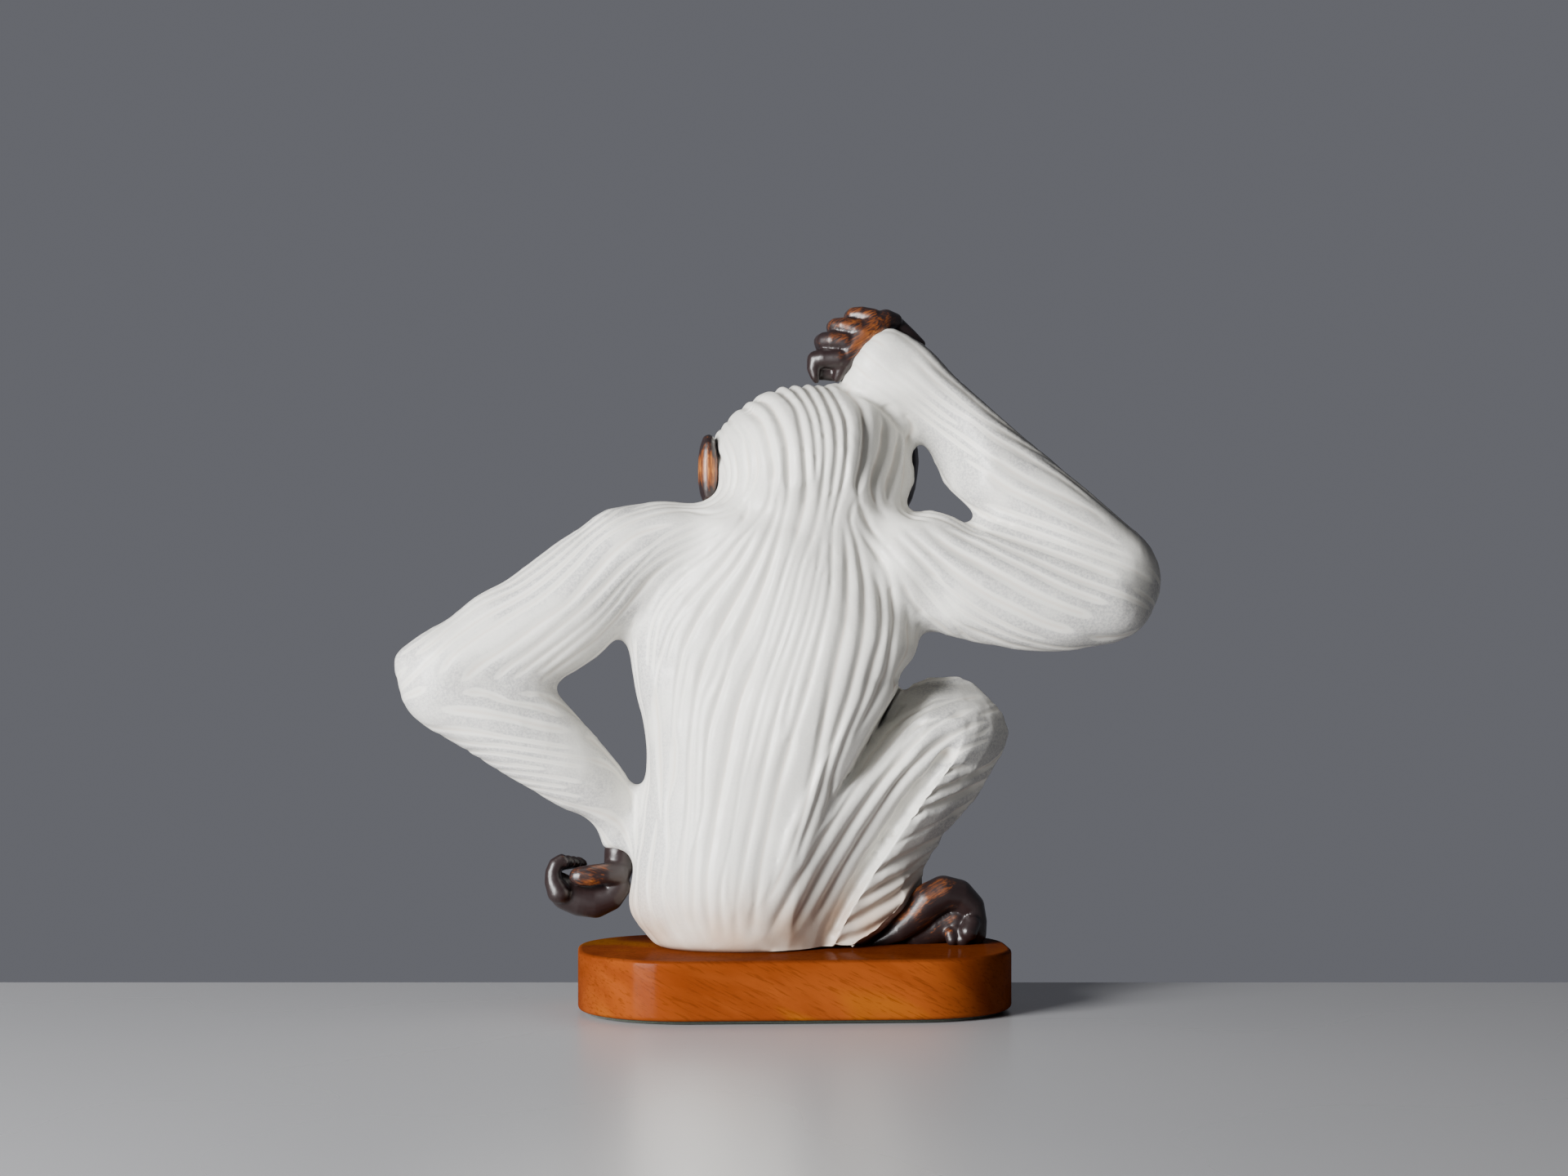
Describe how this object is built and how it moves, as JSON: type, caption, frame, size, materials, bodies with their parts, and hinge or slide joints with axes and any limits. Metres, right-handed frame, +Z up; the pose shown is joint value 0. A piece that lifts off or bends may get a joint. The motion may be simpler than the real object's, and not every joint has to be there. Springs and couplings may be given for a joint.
{
  "type": "seated ape figure",
  "caption": "Seated ape figure in white furrowed stoneware with brown hands, feet and face, an arm akimbo and a fist on its head, on a round-cornered wooden plinth.",
  "frame": {"origin": "middle of the underside, on the bottom face of the felt", "axes": "+Z up, the ape faces +Y, its right side is at +X"},
  "size_m": [0.2886, 0.1059, 0.2649],
  "materials": {
    "white_glaze": "satin",
    "brown_glaze": "gloss",
    "lacquered_wood": "lacquered",
    "plug_wood": "bare",
    "felt": "felt",
    "zinc_steel": "zinc plated"
  },
  "bodies": {
    "root": {"plinth": "lacquered_wood", "felt": "felt", "fixing_plug": "plug_wood", "fixing_screw_left": "zinc_steel", "fixing_screw_right": "zinc_steel", "washer_left": "zinc_steel", "washer_right": "zinc_steel", "torso": "white_glaze", "head": "white_glaze", "left_arm": "white_glaze", "right_arm": "white_glaze", "left_leg": "white_glaze", "right_leg": "white_glaze", "face": "brown_glaze", "left_ear": "brown_glaze", "right_ear": "brown_glaze", "left_hand": "brown_glaze", "right_hand": "brown_glaze", "left_foot": "brown_glaze", "right_foot": "brown_glaze"}
  },
  "joints": []
}
